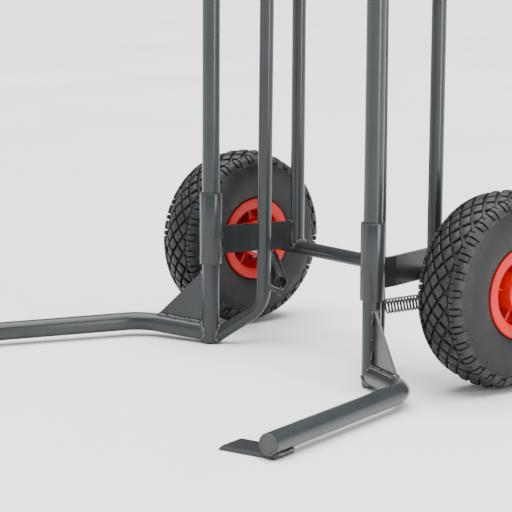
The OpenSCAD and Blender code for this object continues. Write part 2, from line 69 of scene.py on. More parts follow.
def finish_of(name, dark, light, rough, patch, grain, bump, metallic=0.0, coat=0.0,
              shine=0.5, relief_depth=0.0001):
    """A material whose colour and roughness drift over patches, with a fine grain in relief."""
    material = bpy.data.materials.new(name)
    material.use_nodes = True
    nodes, links = material.node_tree.nodes, material.node_tree.links
    shader = nodes["Principled BSDF"]
    shader.inputs["Metallic"].default_value = metallic
    shader.inputs["Coat Weight"].default_value = coat
    shader.inputs["Specular IOR Level"].default_value = shine
    shader.inputs["Coat Roughness"].default_value = 0.18
    place = nodes.new("ShaderNodeTexCoord")
    patches = nodes.new("ShaderNodeTexNoise")
    patches.inputs["Scale"].default_value = patch
    patches.inputs["Detail"].default_value = 4.0
    links.new(place.outputs["Object"], patches.inputs["Vector"])
    colours = nodes.new("ShaderNodeValToRGB")
    colours.color_ramp.elements[0].position = 0.3
    colours.color_ramp.elements[0].color = (*dark, 1)
    colours.color_ramp.elements[1].position = 0.7
    colours.color_ramp.elements[1].color = (*light, 1)
    links.new(patches.outputs["Fac"], colours.inputs["Fac"])
    links.new(colours.outputs["Color"], shader.inputs["Base Color"])
    roughness = nodes.new("ShaderNodeMapRange")
    roughness.inputs["From Min"].default_value = 0.3
    roughness.inputs["From Max"].default_value = 0.7
    roughness.inputs["To Min"].default_value = rough[0]
    roughness.inputs["To Max"].default_value = rough[1]
    links.new(patches.outputs["Fac"], roughness.inputs["Value"])
    links.new(roughness.outputs["Result"], shader.inputs["Roughness"])
    peel = nodes.new("ShaderNodeTexNoise")
    peel.inputs["Scale"].default_value = grain
    peel.inputs["Detail"].default_value = 2.0
    links.new(place.outputs["Object"], peel.inputs["Vector"])
    relief = nodes.new("ShaderNodeBump")
    relief.inputs["Strength"].default_value = bump
    relief.inputs["Distance"].default_value = relief_depth
    links.new(peel.outputs["Fac"], relief.inputs["Height"])
    links.new(relief.outputs["Normal"], shader.inputs["Normal"])
    return material


def softened(part, width, corner):
    """Rounds a part's edges by width, wherever its faces turn by more than corner degrees."""
    join = part.modifiers.new("join", "WELD")
    join.merge_threshold = 0.01 * MM
    round_off = part.modifiers.new("round_off", "BEVEL")
    round_off.width = width
    round_off.segments = 2
    round_off.limit_method = "ANGLE"
    round_off.angle_limit = math.radians(corner)
    round_off.harden_normals = True


powder_coat = finish_of("powder_coat", (0.021, 0.024, 0.026), (0.027, 0.031, 0.033),
                        (0.20, 0.27), 14, 700, 0.3, shine=0.32, relief_depth=0.00001)
for node, part in frame["nodes"].items():
    if slot_of[node] != "frame":
        continue
    part.data.materials.clear()
    part.data.materials.append(powder_coat)
    if node.endswith(SOFT_EDGED):
        softened(part, 0.5 * MM, 40)


# ---- Weld beads ----
# Short runs of weld where tube meets tube or bar: the stacked ripples of a hand-held torch,
# under the same powder coat. They hold the frame and each arm together.
SIDES = (("left", -1), ("right", 1))
UP = Vector((0, 0, 1))
ALONG_AXLE = Vector((1, 0, 0))
BEAD_STEP = 2.3 * MM
THICK_BEAD, THIN_BEAD = 3.3 * MM, 2.1 * MM
LEAST_SCALE, MOST_SCALE, LUMP, LUMPS_IN_A_METRE = 0.72, 1.18, 2.4 * MM, 260
ROOM_BELOW = 1.45  # a run stays this many bead radii above the floor
# Painted shade: the beads' coat is darker than the frame's powder coat, standing in for the dark
# surroundings that the glossy beads reflect.
weld_coat_painted_dark = finish_of("weld_coat_painted_dark", (0.012, 0.014, 0.016), (0.028, 0.032, 0.035),
                      (0.08, 0.18), 260, 420, 0.9, coat=0.5, relief_depth=0.0006)


def plain_object(name, verts, faces=(), edges=(), smooth=True):
    mesh = bpy.data.meshes.new(name)
    mesh.from_pydata([tuple(v) for v in verts], list(edges), [tuple(f) for f in faces])
    mesh.update()
    for face in mesh.polygons:
        face.use_smooth = smooth
    made = bpy.data.objects.new(name, mesh)
    bpy.context.scene.collection.objects.link(made)
    return made


def new_tree(name, sockets):
    """A geometry tree with the named inputs, still empty, and its two end nodes."""
    tree = bpy.data.node_groups.new(name, "GeometryNodeTree")
    tree.interface.new_socket("Geometry", in_out="INPUT", socket_type="NodeSocketGeometry")
    for label, kind in sockets:
        tree.interface.new_socket(label, in_out="INPUT", socket_type=kind)
    tree.interface.new_socket("Geometry", in_out="OUTPUT", socket_type="NodeSocketGeometry")
    return tree, tree.nodes.new("NodeGroupInput"), tree.nodes.new("NodeGroupOutput")


def through(source, tree, values, name):
    """Runs a geometry tree on source and keeps the result as one plain mesh."""
    modifier = source.modifiers.new("grow", "NODES")
    modifier.node_group = tree
    for item in tree.interface.items_tree:
        if item.in_out == "INPUT" and item.name in values:
            modifier[item.identifier] = values[item.name]
    bpy.context.view_layer.update()
    evaluated = source.evaluated_get(bpy.context.evaluated_depsgraph_get())
    mesh = bpy.data.meshes.new_from_object(evaluated)
    source.modifiers.clear()
    bpy.data.objects.remove(source)
    made = bpy.data.objects.new(name, mesh)
    bpy.context.scene.collection.objects.link(made)
    return made


def one_piece(pieces, name, body):
    """Joins plain meshes into one piece that moves with body."""
    bpy.ops.object.select_all(action="DESELECT")
    for piece in pieces:
        piece.select_set(True)
    bpy.context.view_layer.objects.active = pieces[0]
    bpy.ops.object.join()
    made = bpy.context.view_layer.objects.active
    made.name = name
    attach(made, body)
    return made


bead_tree, bead_in, bead_out = new_tree("weld_bead", [
    ("Step", "NodeSocketFloat"), ("Radius", "NodeSocketFloat"), ("Seed", "NodeSocketInt"),
    ("Material", "NodeSocketMaterial"),
])
n, link = bead_tree.nodes, bead_tree.links.new
to_curve = n.new("GeometryNodeMeshToCurve")
spaced = n.new("GeometryNodeResampleCurve")
spaced.mode = "LENGTH"
ripple = n.new("GeometryNodeMeshIcoSphere")
ripple.inputs["Subdivisions"].default_value = 2
spread = n.new("FunctionNodeRandomValue")
spread.data_type = "FLOAT"
spread.inputs[2].default_value = LEAST_SCALE
spread.inputs[3].default_value = MOST_SCALE
stack = n.new("GeometryNodeInstanceOnPoints")
real = n.new("GeometryNodeRealizeInstances")
lumps = n.new("ShaderNodeTexNoise")
lumps.inputs["Scale"].default_value = LUMPS_IN_A_METRE
centred = n.new("ShaderNodeVectorMath")
centred.operation = "SUBTRACT"
centred.inputs[1].default_value = (0.5, 0.5, 0.5)
shrunk = n.new("ShaderNodeVectorMath")
shrunk.operation = "SCALE"
shrunk.inputs["Scale"].default_value = LUMP
uneven = n.new("GeometryNodeSetPosition")
smooth = n.new("GeometryNodeSetShadeSmooth")
paint = n.new("GeometryNodeSetMaterial")
link(lumps.outputs["Color"], centred.inputs[0])
link(centred.outputs[0], shrunk.inputs[0])
link(shrunk.outputs[0], uneven.inputs["Offset"])
link(bead_in.outputs["Geometry"], to_curve.inputs["Mesh"])
link(to_curve.outputs["Curve"], spaced.inputs["Curve"])
link(bead_in.outputs["Step"], spaced.inputs["Length"])
link(bead_in.outputs["Radius"], ripple.inputs["Radius"])
link(bead_in.outputs["Seed"], spread.inputs["Seed"])
link(spaced.outputs["Curve"], stack.inputs["Points"])
link(ripple.outputs["Mesh"], stack.inputs["Instance"])
link(spread.outputs[1], stack.inputs["Scale"])
link(stack.outputs["Instances"], real.inputs["Geometry"])
link(real.outputs["Geometry"], uneven.inputs["Geometry"])
link(uneven.outputs["Geometry"], smooth.inputs["Geometry"])
link(smooth.outputs["Geometry"], paint.inputs["Geometry"])
link(bead_in.outputs["Material"], paint.inputs["Material"])
link(paint.outputs["Geometry"], bead_out.inputs["Geometry"])


def middle(node):
    low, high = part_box(node)
    return (Vector(low) + Vector(high)) / 2


def half_width(node, way):
    """Half of a piece's size along x, y or z, which way gives as 0, 1 or 2."""
    low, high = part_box(node)
    return (high[way] - low[way]) / 2


def saddle(start, way, r, centre, axis, big_r):
    """Where a round tube from start along way, of radius r, comes out of a bigger round bar."""
    way, axis = way.normalized(), axis.normalized()
    side = way.cross(axis).normalized()
    other = way.cross(side)
    path = []
    for degrees in range(0, 361, 9):
        a = math.radians(degrees)
        p = start + r * (math.cos(a) * other + math.sin(a) * side) - centre
        p_flat, w_flat = p - p.dot(axis) * axis, way - way.dot(axis) * axis
        qa, qb, qc = w_flat.dot(w_flat), 2 * p_flat.dot(w_flat), p_flat.dot(p_flat) - big_r ** 2
        t = (-qb + math.sqrt(max(0.0, qb * qb - 4 * qa * qc))) / (2 * qa)
        path.append(centre + p + t * way)
    return path


# The frame's round pieces, measured on the right half.
axle_at, axle_r = middle("axle"), half_width("axle", 2)
sleeve_r = half_width("right_lower_sleeve", 0)
rear_r = 10 * MM
rear_at = Vector((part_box("right_rear_tube")[0][0] + rear_r, axle_at.y, 0))
PEG_IN, PEG_R = 6 * MM, 4 * MM
peg_at = Vector((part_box("spring_pegs")[1][0] - PEG_IN, axle_at.y, 0))
BAR_T = 5 * MM

# The right arm's, where what is given in numbers starts from its upright's foot.
pivot = middle("right_upright")
pivot.z = 0
upright_r = half_width("right_upright", 0)
STUB_ANGLE, FORK_SPLAY = math.radians(20.7), math.radians(16.9)
FORK_R, STUB_LEN, STUB_Z, CORNER_Z = 13.25 * MM, 115 * MM, 15.55 * MM, 20.95 * MM
GUSSET_TOE, GUSSET_HALF = 84 * MM, 2 * MM
GUSSET_TACKS = ((102, 1.2), (87, 2.5), (67, 1.5), (45, 3.5))
LEVER_R, LUG_R, LUG_Z = 10 * MM, 4 * MM, 86 * MM
LEVER_LOW, LEVER_LOW_WAY = 5 * MM, Vector((-50, 56.5, 50))
LEVER_TOP, LEVER_TOP_WAY = 1050 * MM, Vector((-57, 57.2, -50))
TIP_RUN_FROM, TIP_RUN, TIP_RUN_HALF = 3 * MM, 30 * MM, 7.5 * MM
HOOK_FROM_PIVOT = Vector((-64.6 * MM, 73.0 * MM, 77.5 * MM))
stub_way = Vector((math.cos(STUB_ANGLE), -math.sin(STUB_ANGLE), 0))
stub_side = Vector((math.sin(STUB_ANGLE), math.cos(STUB_ANGLE), 0))
fork_way = Vector((math.sin(FORK_SPLAY), -math.cos(FORK_SPLAY), 0))
near_hook = pivot + HOOK_FROM_PIVOT
tip_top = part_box("right_tip_plate")[1][2]
plug_at = middle("right_fork_plug")

# How far the middle of a run lies outside a face, or is sunk into one, and where runs end.
OFF_GUSSET, OFF_TOE, OFF_TIP = 1.6 * MM, 2.6 * MM, 0.5 * MM
OFF_BAR, OFF_TUBE = 0.6 * MM, 0.4 * MM
STUB_SUNK, TACK_SUNK, REAR_SUNK = 0.9 * MM, 0.2 * MM, 0.3 * MM
BAR_END, LOW_RUN, HIGH_RUN = 1 * MM, (1 * MM, 7 * MM), (15 * MM, 8 * MM)
GUSSET_STEPS, TOE_ANGLES = 20, (0.9, 0.4, 0, -0.4, -0.9)


def stub_top(out, off):
    """A point on top of the stub tube, out along it and off to its side."""
    rise = STUB_Z + (CORNER_Z - STUB_Z) * out / STUB_LEN + math.sqrt(FORK_R ** 2 - off ** 2)
    return pivot + stub_way * out + stub_side * off + UP * rise


def arm_welds():
    """The heavy runs and the light runs on the right arm."""
    heavy, light = [], []
    off = GUSSET_HALF + OFF_GUSSET
    reach = [upright_r + (GUSSET_TOE - upright_r) * i / GUSSET_STEPS
             for i in range(GUSSET_STEPS + 1)]
    round_toe = [stub_top(GUSSET_TOE + OFF_TOE * math.cos(a), off * math.sin(a))
                 for a in TOE_ANGLES]
    heavy.append([stub_top(out, off) for out in reach] + round_toe
                 + [stub_top(out, -off) for out in reversed(reach)])
    heavy.append(saddle(pivot + UP * STUB_Z, stub_way, FORK_R - STUB_SUNK, pivot, UP, upright_r))
    for z, tall in GUSSET_TACKS:
        for sign in (-1, 1):
            foot = pivot + stub_way * (upright_r - TACK_SUNK) + stub_side * sign * off
            light.append([foot + UP * (z - tall) * MM, foot + UP * (z + tall) * MM])
    heavy.append(saddle(pivot + UP * LEVER_LOW, LEVER_LOW_WAY, LEVER_R, pivot, UP, upright_r))
    lever_foot = pivot + Vector((LEVER_LOW_WAY.x * MM, LEVER_LOW_WAY.y * MM, 0))
    lug_from = lever_foot + UP * LUG_Z
    light.append(saddle(lug_from, near_hook - lug_from, LUG_R, lever_foot, UP, LEVER_R))
    across = Vector((math.cos(FORK_SPLAY), math.sin(FORK_SPLAY), 0))
    for sign in (-1, 1):
        start = Vector((plug_at.x, plug_at.y, 0)) - fork_way * TIP_RUN_FROM
        start += across * sign * TIP_RUN_HALF + UP * (tip_top + OFF_TIP)
        light.append([start, start - fork_way * TIP_RUN])
    light.append(saddle(pivot + UP * LEVER_TOP, LEVER_TOP_WAY, LEVER_R, pivot, UP, upright_r))
    return heavy, light


def frame_welds():
    """The heavy runs and the light runs on the right half of the frame."""
    heavy, light = [], []
    for plate in ("right_side_plate", "right_upper_plate"):
        low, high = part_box(plate)
        for x in (rear_at.x - OFF_BAR, rear_at.x + BAR_T + OFF_BAR):
            y = rear_at.y - math.sqrt(rear_r ** 2 - (x - rear_at.x) ** 2) - OFF_TUBE
            light.append([Vector((x, y, low[2] + BAR_END)), Vector((x, y, high[2] - BAR_END))])
        for x in (high[0] - BAR_T - OFF_BAR, high[0] + OFF_BAR):
            y = pivot.y + math.sqrt(sleeve_r ** 2 - (x - pivot.x) ** 2) + OFF_TUBE
            light.append([Vector((x, y, low[2] + up)) for up in LOW_RUN])
            light.append([Vector((x, y, high[2] - down)) for down in HIGH_RUN])
    thinner = rear_r - REAR_SUNK
    heavy.append(saddle(rear_at + UP * axle_at.z, UP, thinner, axle_at, ALONG_AXLE, axle_r))
    for cross in ("mid_cross_tube", "top_cross_tube"):
        at = Vector((rear_at.x, rear_at.y, middle(cross).z))
        light.append(saddle(at, -ALONG_AXLE, thinner, at, UP, rear_r))
    peg = Vector((peg_at.x, peg_at.y, axle_at.z))
    light.append(saddle(peg, -UP, PEG_R, axle_at, ALONG_AXLE, axle_r))
    return heavy, light


def lines_object(name, runs, lowest=0.0):
    """Each run as a row of edges, with no point of it below lowest."""
    verts, edges = [], []
    for run in runs:
        run = [Vector((p.x, p.y, max(p.z, lowest))) for p in run]
        edges += [(len(verts) + i, len(verts) + i + 1) for i in range(len(run) - 1)]
        verts += run
    return plain_object(name, verts, edges=edges)


def flipped(runs):
    return [[Vector((-p.x, p.y, p.z)) for p in run] for run in runs]


def weld(name, body, heavy, light):
    """Both thicknesses of bead on one body, made one piece."""
    laid = []
    for tag, runs, radius, seed in (("heavy", heavy, THICK_BEAD, 3),
                                    ("light", light, THIN_BEAD, 5)):
        lines = lines_object("runs", runs, lowest=radius * ROOM_BELOW)
        values = {"Step": BEAD_STEP, "Radius": radius, "Seed": seed, "Material": weld_coat_painted_dark}
        laid.append(through(lines, bead_tree, values, name + "_" + tag))
    return one_piece(laid, name, body)


for side, sign in SIDES:
    heavy, light = arm_welds()
    if sign < 0:
        heavy, light = flipped(heavy), flipped(light)
    weld(side + "_arm_welds", side + "_arm", heavy, light)
heavy, light = frame_welds()
weld("frame_welds", "frame", heavy + flipped(heavy), light + flipped(light))


# ---- Springs ----
# One length of oil-blackened spring wire each: an open coil, with a ring turned at both ends.
# The near ring hangs on the arm's lug and the far ring on the peg below the axle.
WIRE_R, COIL_R, RING_R = 1.15 * MM, 9.6 * MM, 6.2 * MM
TURNS, TURN_STEPS = 23, 22
RING_TURN, RING_STEPS = math.radians(300), 26
LEAD_IN, RING_STEM, HOOK_DROP, WIRE_SIDES = (0.35, 0.7), 8 * MM, 8.8 * MM, 10
COIL_FROM_HOOK = Vector((3.87, 5.59, 10.53)) * MM
LUG_WAY = Vector((-14.57, 16.47, -8.5)).normalized()
spring_steel = finish_of("spring_steel", (0.020, 0.020, 0.020), (0.060, 0.060, 0.056),
                         (0.28, 0.42), 160, 1400, 0.3, metallic=0.85)
wire_tree, wire_in, wire_out = new_tree("wire", [
    ("Radius", "NodeSocketFloat"), ("Sides", "NodeSocketInt"), ("Material", "NodeSocketMaterial"),
])
n, link = wire_tree.nodes, wire_tree.links.new
to_curve = n.new("GeometryNodeMeshToCurve")
section = n.new("GeometryNodeCurvePrimitiveCircle")
sweep = n.new("GeometryNodeCurveToMesh")
sweep.inputs["Fill Caps"].default_value = True
real = n.new("GeometryNodeRealizeInstances")
smooth = n.new("GeometryNodeSetShadeSmooth")
paint = n.new("GeometryNodeSetMaterial")
link(wire_in.outputs["Geometry"], to_curve.inputs["Mesh"])
link(wire_in.outputs["Radius"], section.inputs["Radius"])
link(wire_in.outputs["Sides"], section.inputs["Resolution"])
link(to_curve.outputs["Curve"], sweep.inputs["Curve"])
link(section.outputs["Curve"], sweep.inputs["Profile Curve"])
link(sweep.outputs["Mesh"], real.inputs["Geometry"])
link(real.outputs["Geometry"], smooth.inputs["Geometry"])
link(smooth.outputs["Geometry"], paint.inputs["Geometry"])
link(wire_in.outputs["Material"], paint.inputs["Material"])
link(paint.outputs["Geometry"], wire_out.inputs["Geometry"])

coil_start = near_hook + COIL_FROM_HOOK
far_hook = Vector((peg_at.x, peg_at.y, axle_at.z - axle_r - HOOK_DROP))


def spring_wire_path():
    """The middle of the right spring's wire: near ring, coil and far ring."""
    along = (far_hook - coil_start).normalized()
    coil_end = far_hook - along * (RING_R + RING_STEM)
    across = along.cross(UP).normalized()
    lift = across.cross(along).normalized()
    spoke = (coil_start - near_hook) - (coil_start - near_hook).dot(LUG_WAY) * LUG_WAY
    spoke.normalize()
    sideways = LUG_WAY.cross(spoke)
    path = [near_hook + RING_R * (math.cos(a) * spoke + math.sin(a) * sideways)
            for a in np.linspace(-RING_TURN, 0, RING_STEPS)]
    first = coil_start + COIL_R * across
    path += [path[-1].lerp(first, k) for k in LEAD_IN]
    length = (coil_end - coil_start).length
    for i in range(TURNS * TURN_STEPS + 1):
        a = 2 * math.pi * i / TURN_STEPS
        at = coil_start + along * (length * i / (TURNS * TURN_STEPS))
        path.append(at + COIL_R * (math.cos(a) * across + math.sin(a) * lift))
    ahead = Vector((along.x, along.y, 0)).normalized()
    beside = UP.cross(ahead)
    ring = [far_hook + RING_R * (-math.cos(a) * ahead - math.sin(a) * beside)
            for a in np.linspace(0, RING_TURN, RING_STEPS)]
    path += [path[-1].lerp(ring[0], k) for k in LEAD_IN]
    return path + ring


for side, sign in SIDES:
    path = spring_wire_path()
    if sign < 0:
        path = flipped([path])[0]
    coil = through(lines_object("path", [path]), wire_tree,
                   {"Radius": WIRE_R, "Sides": WIRE_SIDES, "Material": spring_steel},
                   side + "_spring_coil")
    start = Vector((sign * far_hook.x, far_hook.y, far_hook.z))
    end = Vector((sign * coil_start.x, coil_start.y, coil_start.z))
    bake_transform(coil)
    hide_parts(side + "_spring")


# ---- Tyres ----
# Black rubber, moulded, then fitted on the rims: a smooth sidewall, low pyramid blocks round the
# crown, wide and narrow lugs in turn on the shoulder, and a thin coloured line on the right tyre.
# Outlines are in mm, as (radius, distance from the tyre's middle).
PITCHES = 32
TYRE_R, TYRE_HALF, RIM_R, BEAD_SEAT = 130.0, 41.0, 60.5, 50.8
WALL_R, BEAD_HALF = (TYRE_R + RIM_R) / 2 - 5, 32.8
CROWN_BOW, WALL_BULGE, AIR_HALF, SEAT_GAP = 95, 8, 21, 0.1
CROWN_T, WALL_T, BEAD_T, AIR_SQUARE = 9, 6, 2, 0.8
CASE_STEPS, CASE_SEGMENTS, EDGE_SPLIT = 56, 192, 3
SHOULDER_R, SHOULDER_UP, SHOULDER_OUT, SHOULDER_IN = TYRE_R - 17, 11, 12, 16
GROOVE, SLOPE_REACH = 5.4, 0.8
wheel_x = middle("right_tyre").x


def tyre_outline():
    """One side of the outside: crown, shoulder, and the wall above and below its widest."""
    crown = [(TYRE_R - u * u / CROWN_BOW, u) for u in (0, 5, 10, 15, 20)]
    shoulder = [(SHOULDER_R + SHOULDER_UP * math.sin(math.radians(a)),
                 TYRE_HALF - SHOULDER_IN + SHOULDER_OUT * math.cos(math.radians(a)))
                for a in range(90, -1, -10)]
    top = math.sin(math.radians(60))
    wall = [(WALL_R + (SHOULDER_R - WALL_R) * math.sin(math.radians(a)) / top,
             TYRE_HALF - WALL_BULGE * (1 - math.cos(math.radians(a))))
            for a in (60, 50, 40, 30, 20, 10)]
    side = [(WALL_R + (WALL_R - RIM_R) * math.sin(math.radians(a)),
             BEAD_HALF + (TYRE_HALF - BEAD_HALF) * math.cos(math.radians(a)))
            for a in range(0, -76, -7)]
    return crown, shoulder, wall, side


def ring_mesh(name, outline, segments):
    """A closed outline in (radius, offset), turned about the X direction."""
    count = len(outline)
    verts = [(u * MM, r * math.cos(a) * MM, r * math.sin(a) * MM)
             for a in np.linspace(0, 2 * math.pi, segments, endpoint=False) for r, u in outline]
    faces = []
    for i in range(segments):
        j = (i + 1) % segments
        for k in range(count):
            m = (k + 1) % count
            faces.append((i * count + k, i * count + m, j * count + m, j * count + k))
    return plain_object(name, verts, faces)


crown, shoulder, wall, side_low = tyre_outline()
skin = np.array(crown + shoulder + wall + side_low)
skin_s = np.concatenate([[0], np.cumsum(np.hypot(*np.diff(skin, axis=0).T))])


def on_skin(s, depth):
    """Point on the tyre's outside at distance s from the crown's middle, sunk by depth."""
    def at(where):
        return np.interp(where, skin_s, skin[:, 0]), np.interp(where, skin_s, skin[:, 1])
    r, u = at(abs(s))
    r_after, u_after = at(abs(s) + SLOPE_REACH)
    r_before, u_before = at(max(abs(s) - SLOPE_REACH, 0))
    dr, du = r_after - r_before, u_after - u_before
    long = math.hypot(dr, du)
    return r - depth * du / long, math.copysign(u + depth * dr / long, s)


# A block's outline from its foot to its middle: its scale, and how far it lies below the skin.
BLOCK_RINGS = ((1.04, GROOVE + 0.5), (1.0, 1.5), (0.86, 0.7), (0.45, 0.3), (0.02, 0.0))
LUG_RINGS = ((1.04, GROOVE + 0.5), (1.0, 0.9), (0.94, 0.0), (0.5, 0.0), (0.02, 0.0))


def block(name, corners, peak):
    """A tread block from corners in (distance round, distance across), peaked or flat on top."""
    edge = []
    for i, a in enumerate(corners):
        b = corners[(i + 1) % len(corners)]
        for k in range(EDGE_SPLIT):
            edge.append((a[0] + (b[0] - a[0]) * k / EDGE_SPLIT,
                         a[1] + (b[1] - a[1]) * k / EDGE_SPLIT))
    mid = (sum(c[0] for c in corners) / len(corners), sum(c[1] for c in corners) / len(corners))
    rings = BLOCK_RINGS if peak else LUG_RINGS
    verts, faces = [], []
    for scale, depth in rings:
        for t, s in edge:
            r, u = on_skin(mid[1] + (s - mid[1]) * scale, depth)
            a = (mid[0] + (t - mid[0]) * scale) / TYRE_R
            verts.append((u * MM, r * math.sin(a) * MM, r * math.cos(a) * MM))
    count, last = len(edge), len(rings) - 1
    for ring in range(last):
        low, high = ring * count, (ring + 1) * count
        for k in range(count):
            m = (k + 1) % count
            faces.append((low + k, low + m, high + m, high + k))
    faces.append(tuple(last * count + k for k in range(count)))
    faces.append(tuple(reversed(range(count))))
    return plain_object(name, verts, faces, smooth=False)


def outwards(piece):
    """Turns every face of a closed mesh outwards."""
    worked = bmesh.new()
    worked.from_mesh(piece.data)
    bmesh.ops.recalc_face_normals(worked, faces=worked.faces[:])
    worked.to_mesh(piece.data)
    worked.free()


def lathed(name, outline, at, way, segments=64):
    """A solid turned about way: outline in mm of (radius, distance along), from back to front."""
    way = way.normalized()
    across = way.orthogonal().normalized()
    up = way.cross(across)
    verts, rings = [], []
    for r, d in outline:
        count = 1 if r == 0 else segments
        rings.append(list(range(len(verts), len(verts) + count)))
        for a in np.linspace(0, 2 * math.pi, count, endpoint=False):
            verts.append(at + (way * d + (across * math.cos(a) + up * math.sin(a)) * r) * MM)
    faces = []
    for low, high in zip(rings, rings[1:]):
        for i in range(segments):
            j = (i + 1) % segments
            if len(low) == 1:
                faces.append((low[0], high[j], high[i]))
            elif len(high) == 1:
                faces.append((low[i], low[j], high[0]))
            else:
                faces.append((low[i], low[j], high[j], high[i]))
    made = plain_object(name, verts, faces)
    outwards(made)
    return made


turn_tree, turn_in, turn_out = new_tree("round_the_axle", [
    ("Count", "NodeSocketInt"), ("Start", "NodeSocketFloat"), ("Centre", "NodeSocketVector"),
    ("Material", "NodeSocketMaterial"),
])
n, link = turn_tree.nodes, turn_tree.links.new
spots = n.new("GeometryNodePoints")
which = n.new("GeometryNodeInputIndex")
share = n.new("ShaderNodeMath")
share.operation = "DIVIDE"
angle = n.new("ShaderNodeMath")
angle.operation = "MULTIPLY"
angle.inputs[1].default_value = 2 * math.pi
shifted = n.new("ShaderNodeMath")
shifted.operation = "ADD"
turned = n.new("ShaderNodeCombineXYZ")
copies = n.new("GeometryNodeInstanceOnPoints")
real = n.new("GeometryNodeRealizeInstances")
move = n.new("GeometryNodeTransform")
paint = n.new("GeometryNodeSetMaterial")
link(turn_in.outputs["Count"], spots.inputs["Count"])
link(which.outputs["Index"], share.inputs[0])
link(turn_in.outputs["Count"], share.inputs[1])
link(share.outputs[0], angle.inputs[0])
link(angle.outputs[0], shifted.inputs[0])
link(turn_in.outputs["Start"], shifted.inputs[1])
link(shifted.outputs[0], turned.inputs["X"])
link(spots.outputs["Points"], copies.inputs["Points"])
link(turn_in.outputs["Geometry"], copies.inputs["Instance"])
link(turned.outputs["Vector"], copies.inputs["Rotation"])
link(copies.outputs["Instances"], real.inputs["Geometry"])
link(real.outputs["Geometry"], move.inputs["Geometry"])
link(turn_in.outputs["Centre"], move.inputs["Translation"])
link(move.outputs["Geometry"], paint.inputs["Geometry"])
link(turn_in.outputs["Material"], paint.inputs["Material"])
link(paint.outputs["Geometry"], turn_out.inputs["Geometry"])

LINE_AT, LINE_HALF, LINE_FROM, LINE_LEFT = 25.0 * MM, 0.7 * MM, 117 * MM, 0.44
# The first two set how far out the painted sidewall shade reaches and how much of it is mixed in.
WALL_TO, WALL_SHADE_SHARE, BREAKS_IN_A_METRE = 110 * MM, 0.85, 70


def tyre_rubber():
    """Black rubber, with painted shade darkening the sidewall, and a worn line on the right tyre's
    outer side.
    """
    material = finish_of("tyre_rubber", (0.012, 0.012, 0.0122), (0.024, 0.024, 0.0245),
                         (0.44, 0.60), 60, 900, 0.35, shine=0.3)
    nodes, links = material.node_tree.nodes, material.node_tree.links
    shader = nodes["Principled BSDF"]
    colour = shader.inputs["Base Color"].links[0].from_socket
    place = nodes.new("ShaderNodeTexCoord")
    parts = nodes.new("ShaderNodeSeparateXYZ")
    links.new(place.outputs["Object"], parts.inputs["Vector"])

    def maths(kind, first, second=None):
        step = nodes.new("ShaderNodeMath")
        step.operation = kind
        for socket, value in zip(step.inputs, (first, second)):
            if isinstance(value, (int, float)):
                socket.default_value = value
            elif value is not None:
                links.new(value, socket)
        return step.outputs[0]

    def mixed(share, colour, other):
        mix = nodes.new("ShaderNodeMix")
        mix.data_type = "RGBA"
        mix.inputs[7].default_value = (*other, 1)
        links.new(share, mix.inputs[0])
        links.new(colour, mix.inputs[6])
        return mix.outputs[2]

    out = maths("SUBTRACT", parts.outputs["X"], wheel_x)
    off_line = maths("ABSOLUTE", maths("SUBTRACT", out, LINE_AT))
    near_line = maths("LESS_THAN", off_line, LINE_HALF)
    down = maths("SUBTRACT", parts.outputs["Z"], axle_at.z)
    back = maths("SUBTRACT", parts.outputs["Y"], axle_at.y)
    square = maths("ADD", maths("MULTIPLY", down, down), maths("MULTIPLY", back, back))
    radius = maths("SQRT", square)
    on_top = maths("GREATER_THAN", radius, LINE_FROM)
    breaks = nodes.new("ShaderNodeTexNoise")
    breaks.inputs["Scale"].default_value = BREAKS_IN_A_METRE
    links.new(place.outputs["Object"], breaks.inputs["Vector"])
    left_on = maths("GREATER_THAN", breaks.outputs["Fac"], LINE_LEFT)
    line = maths("MULTIPLY", maths("MULTIPLY", near_line, on_top), left_on)
    # Painted shade: inside WALL_TO the sidewall is mixed towards a darker black.
    painted_wall_shade = maths("LESS_THAN", radius, WALL_TO)
    darker = mixed(maths("MULTIPLY", painted_wall_shade, WALL_SHADE_SHARE), colour, (0.006, 0.006, 0.0064))
    lined = mixed(line, darker, (0.17, 0.16, 0.38))
    links.new(lined, shader.inputs["Base Color"])
    return material


rubber = tyre_rubber()
ROUND = 2 * math.pi * TYRE_R / PITCHES
HALF_PITCH = math.pi / PITCHES
ROW, GAP_ROUND, GAP_ACROSS, EDGE_CUT = 10.0, 3.1, 2.5, 4.3
tall, wide = ROW - GAP_ACROSS, ROUND / 2 - GAP_ROUND
diamond = [(0, -tall), (wide, 0), (0, tall), (-wide, 0)]
cut_wide = wide * (1 - EDGE_CUT / tall)
clipped = [(0, -tall), (wide, 0), (cut_wide, EDGE_CUT), (-cut_wide, EDGE_CUT), (-wide, 0)]
LUG_FROM, SLIT_TO, LONG_TO, SHORT_TO = 26.2, 32.6, 47.0, 41.5
LUG_HALF, SLIT_HALF, NARROW_HALF = 7.0, 0.7, 3.5


def box_corners(t0, t1, s0, s1):
    return [(t0, s0), (t1, s0), (t1, s1), (t0, s1)]


def beside(shape, by, across):
    """A block's corners moved across by so much, on the side of the crown that across gives."""
    placed = [(t, across * (s + by)) for t, s in shape]
    return placed if across > 0 else placed[::-1]


